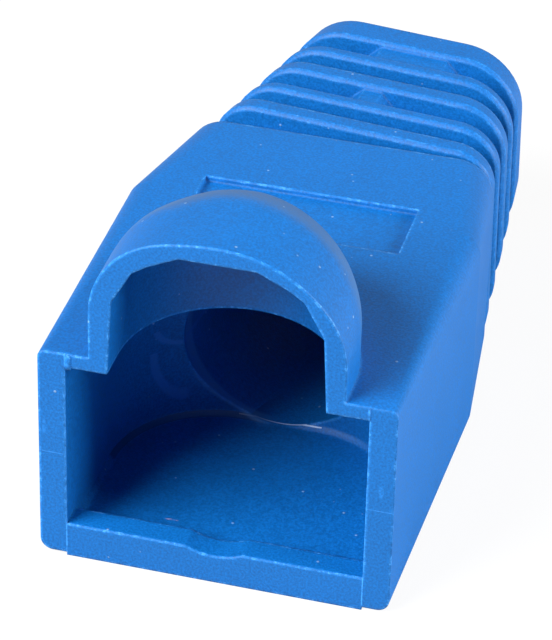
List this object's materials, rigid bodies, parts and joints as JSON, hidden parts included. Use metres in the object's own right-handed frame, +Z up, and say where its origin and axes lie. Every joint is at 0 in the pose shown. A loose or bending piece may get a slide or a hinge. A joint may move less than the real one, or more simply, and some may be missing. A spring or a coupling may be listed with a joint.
{
  "type": "rj45 strain relief boot",
  "caption": "Soft one-piece boot for a modular network plug: open box with a domed latch hood and a ribbed, slotted tail around the cable bore.",
  "frame": {"origin": "on the resting plane, under the middle of the mouth's front face", "axes": "+Y from the plug mouth to the cable end, +Z up through the latch hood, +X across; the mouth's front face is y = 0"},
  "size_m": [0.0146, 0.029, 0.0154],
  "materials": {
    "blue_pvc": "matte, finely textured moulded soft PVC"
  },
  "bodies": {
    "root": {"strain_relief_boot": "blue_pvc"}
  },
  "joints": []
}
